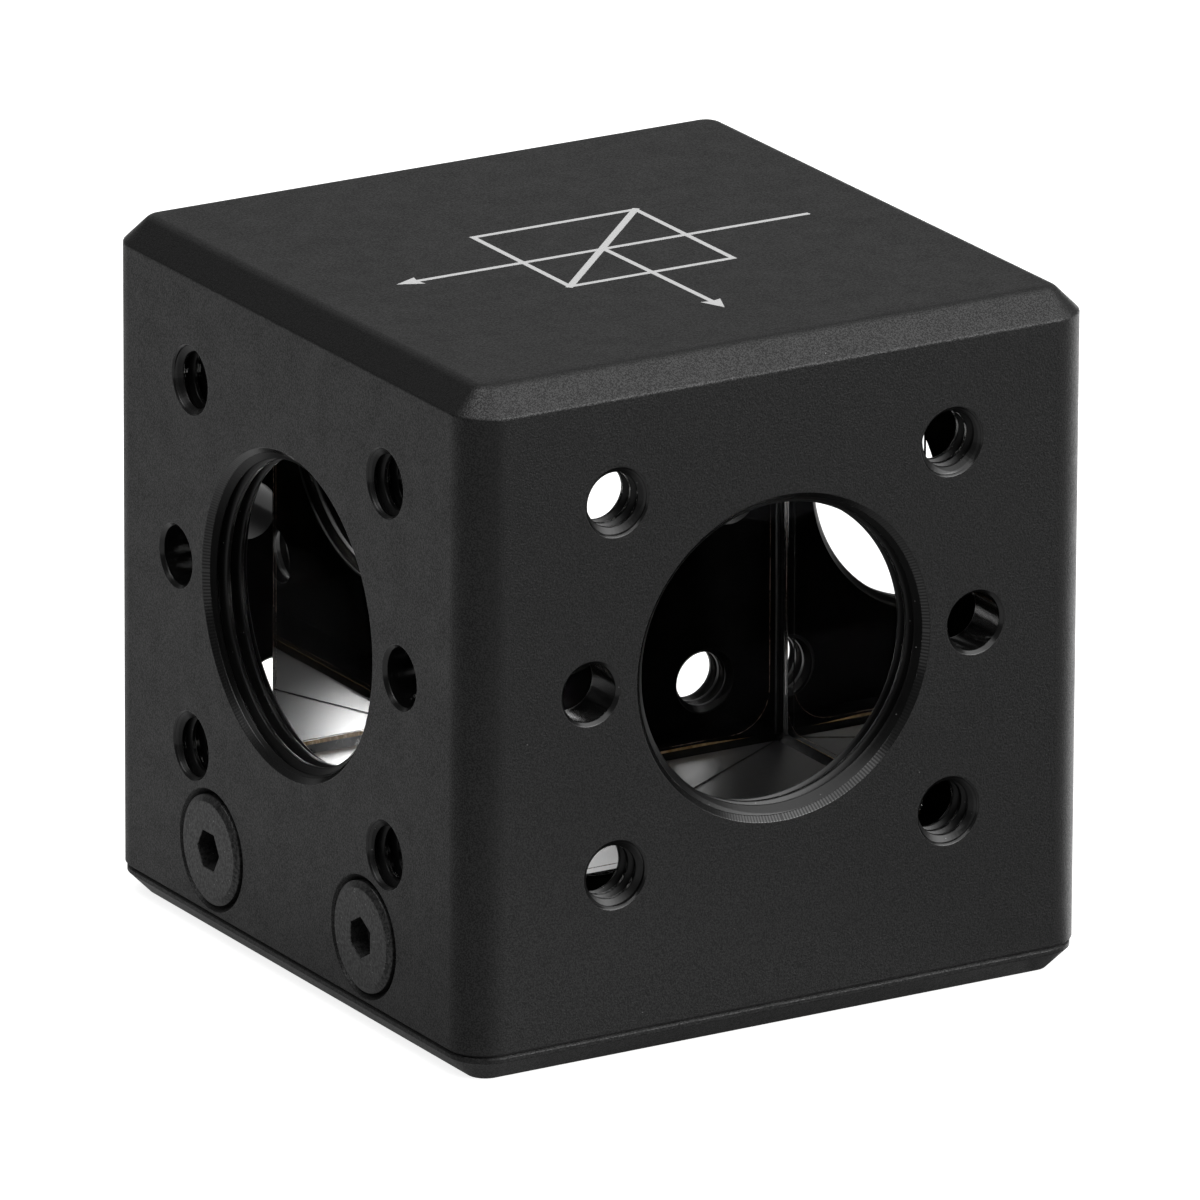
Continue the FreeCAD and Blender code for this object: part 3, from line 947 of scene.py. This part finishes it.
def add_beam_symbol(finish):
    """Generic symbol of a beamsplitter: a square with its diagonal, a beam through it and a branch."""
    left = SYMBOL_SHIFT - SYMBOL_HALF
    right = SYMBOL_SHIFT + SYMBOL_HALF
    corners = [(left, -SYMBOL_HALF), (right, -SYMBOL_HALF), (right, SYMBOL_HALF), (left, SYMBOL_HALF)]
    strokes = [stroke(corners[index], corners[(index + 1) % 4], LINE_WIDTH, index) for index in range(4)]
    strokes.append(stroke(corners[0], corners[2], DIAGONAL_WIDTH, 5))
    strokes.append(stroke(BEAM_START, BEAM_END, LINE_WIDTH, 6))
    strokes.append(stroke(BRANCH_START, BRANCH_END, LINE_WIDTH, 7))
    strokes.append(arrowhead(BEAM_TIP, BEAM_WAY, 8))
    strokes.append(arrowhead(BRANCH_TIP, BRANCH_WAY, 9))
    new_piece("beam_symbol", joined("beam_symbol", strokes), [finish])


def add_adhesive(finish):
    """Pad of cured adhesive just below the ground face, in place of the plain one, and the beads
    that came out along the rear and right edges."""
    corners = [(-PAD_HALF, -PAD_HALF), (PAD_HALF, -PAD_HALF), (PAD_HALF, PAD_HALF), (-PAD_HALF, PAD_HALF)]
    mesh = flat_plate(corners, PLATFORM_TOP, GLASS_BOTTOM - ADHESIVE_GAP)
    mesh.name = "adhesive_pad"
    piece = new_piece("adhesive_pad", mesh, [finish])
    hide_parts("glue_pad")
    for side, turn, swelling in (("rear", 0, BEAD_RISE), ("right", -90, BEAD_RISE / 3)):
        bead = mesh_from("bead", *swept_ring(bead_sections(swelling), False))
        name = "adhesive_bead_" + side
        quarter = Matrix.Rotation(math.radians(turn), 4, "Z")
        new_piece(name, placed(bead, name, quarter), [finish])


def bead_sections(swelling):
    """Sections of the adhesive that came out along the rear edge of the glass, with a wavy top that
    reaches a little into the glass."""
    chance = random.Random(BEAD_SEED)
    waves = [(number, chance.uniform(0.6, 1.0), chance.uniform(0, 2 * math.pi)) for number in BEAD_WAVES]
    bevel_top = GLASS_BOTTOM + GLASS_BEVEL
    top = GLASS_BOTTOM - ADHESIVE_GAP
    sections = []
    for step in range(BEAD_STEPS + 1):
        share = step / BEAD_STEPS
        waved = [size * math.sin(number * BEAD_WAVE_TURN * share + start) for number, size, start in waves]
        swell = BEAD_UNEVENNESS * (sum(waved) / len(waved))
        fade = min(1.0, BEAD_FADES * share, BEAD_FADES * (1 - share))
        rise = bevel_top + swelling * (BEAD_START_RISE - BEAD_RISE_LOSS * share + swell) * fade
        width = BEAD_LEAST_WIDTH + BEAD_WIDTH * (1 + swell) * fade
        x = BEAD_HALF * (2 * share - 1)
        profile = (
            (-BEAD_ROOT, PLATFORM_TOP), (width, PLATFORM_TOP),
            (width * BEAD_SHOULDER, (PLATFORM_TOP + rise) / 2),
            (-BEAD_OVERLAP, rise), (-BEAD_OVERLAP, bevel_top), (-BEAD_OVERLAP - GLASS_BEVEL, top),
            (-BEAD_ROOT, top))
        sections.append([Vector((x, GLASS_HALF + out, z)) for out, z in profile])
    return sections


def sort_faces(work):
    """Give the faces an order set by their corners. A bevel leaves them in a chance order."""
    work.verts.index_update()
    count = len(work.verts)

    def corner_order(face):
        first, second, third = sorted(point.index for point in face.verts)[:3]
        return (first * count + second) * count + third

    work.faces.sort(key=corner_order)


def soft_topped_housing():
    """Copy of the housing with the edges of its top chamfer rounded."""
    mesh = frame["nodes"]["housing"].data.copy()
    mesh.name = "housing_shell"
    work = bmesh.new()
    work.from_mesh(mesh)
    bmesh.ops.remove_doubles(work, verts=work.verts, dist=MERGE_DISTANCE)
    for height, rounding in ((CUBE_TOP, UPPER_ROUNDING), (CUBE_TOP - TOP_CHAMFER, LOWER_ROUNDING)):
        chosen = []
        for edge in work.edges:
            level = all(abs(point.co.z - height) < LEVEL_MARGIN for point in edge.verts)
            if level and edge.calc_face_angle(0.0) > ROUNDED_ANGLE:
                chosen.append(edge)
        bmesh.ops.bevel(work, geom=chosen, offset=rounding, offset_type="OFFSET",
                        segments=ROUNDING_STEPS, profile=0.5, affect="EDGES")
    sort_faces(work)
    for face in work.faces:
        face.smooth = True
    for edge in work.edges:
        edge.smooth = edge.calc_face_angle(0.0) < SHARP_ANGLE
    work.to_mesh(mesh)
    work.free()
    piece = new_piece("housing_shell", mesh, [])
    even = piece.modifiers.new("even_normals", "WEIGHTED_NORMAL")
    even.keep_sharp = True
    even.weight = 100
    bpy.context.view_layer.update()
    graph = bpy.context.evaluated_depsgraph_get()
    shaded = bpy.data.meshes.new_from_object(piece.evaluated_get(graph))
    piece.modifiers.remove(even)
    piece.data = shaded
    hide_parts("housing")
    return piece


def finish_nodes():
    """Finishes of the housing and of the CAD nodes that stay: the base plate and the screws. The
    housing and the base plate get the copy without highlight inside, as painted shade."""
    black = anodised("black_anodised_finish")
    painted_shade_inside = shaded_inside_copy()
    for piece in (soft_topped_housing(), frame["nodes"]["base_plate"]):
        mesh = piece.data
        mesh.materials.clear()
        mesh.materials.append(black)
        mesh.materials.append(painted_shade_inside)
        for face in mesh.polygons:
            # Faces inside the cube get the painted-shade copy
            depth = max(abs(face.center.x), abs(face.center.y))
            inside = depth < INSIDE_HALF and INSIDE_BOTTOM < face.center.z < INSIDE_TOP
            face.material_index = 1 if inside else 0
    steel = oxide_steel()
    for name, node in frame["nodes"].items():
        if name.startswith("side_screw"):
            node.data.materials[0] = steel


bpy.context.scene.view_settings.view_transform = "Standard"
make_world()
make_floor()
make_camera()
finish_nodes()
thread_finish = anodised("black_anodised_thread", thread=True)
add_wall_threads(thread_finish)
add_post_thread(thread_finish)
add_glass()
add_adhesive(amber())
add_beam_symbol(pale_filling())
